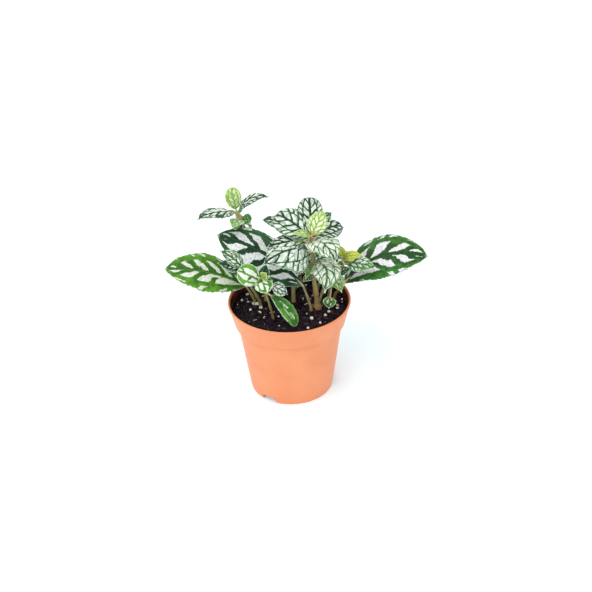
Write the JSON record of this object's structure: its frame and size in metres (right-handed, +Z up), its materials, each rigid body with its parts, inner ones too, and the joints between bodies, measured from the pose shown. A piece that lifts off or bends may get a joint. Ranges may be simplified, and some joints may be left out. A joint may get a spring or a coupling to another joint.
{
  "type": "potted aluminum plant",
  "caption": "Young aluminum plant with silver-patched leaves on leafy stems, standing in dark soil in a round plastic nursery pot with a deep lip band.",
  "frame": {"origin": "middle of the underside of the pot's centre pad, on the surface that the pot stands on", "axes": "+Z up, -Z is the resting face's normal, +X to the right of the front view and along the longest extent, +Y to the back"},
  "size_m": [0.2512, 0.1705, 0.2091],
  "materials": {
    "pot_plastic": "satin terracotta-orange moulded plastic",
    "potting_soil": "rough, crumbly and dark, with white perlite grains",
    "silver_patched_leaf": "satin deep green with raised silver-white patches between the veins",
    "netted_leaf": "satin silver-white cells in a net of dark green veins",
    "young_leaf": "satin yellow-green, paler between the veins"
  },
  "bodies": {
    "root": {"pot": "pot_plastic", "soil": "potting_soil", "leaf_left": "silver_patched_leaf", "leaf_right": "silver_patched_leaf", "leaf_middle": "silver_patched_leaf", "leaf_back": "silver_patched_leaf", "stem_tall": "netted_leaf", "stem_left": "netted_leaf", "stem_front": "netted_leaf", "stem_centre": "netted_leaf", "stem_right": "netted_leaf", "stem_back": "netted_leaf", "stem_back_left": "netted_leaf", "stem_back_right": "netted_leaf", "tip_tall": "young_leaf", "tip_front": "young_leaf", "tip_centre": "young_leaf", "tip_right": "young_leaf", "tip_back": "young_leaf"}
  },
  "joints": []
}
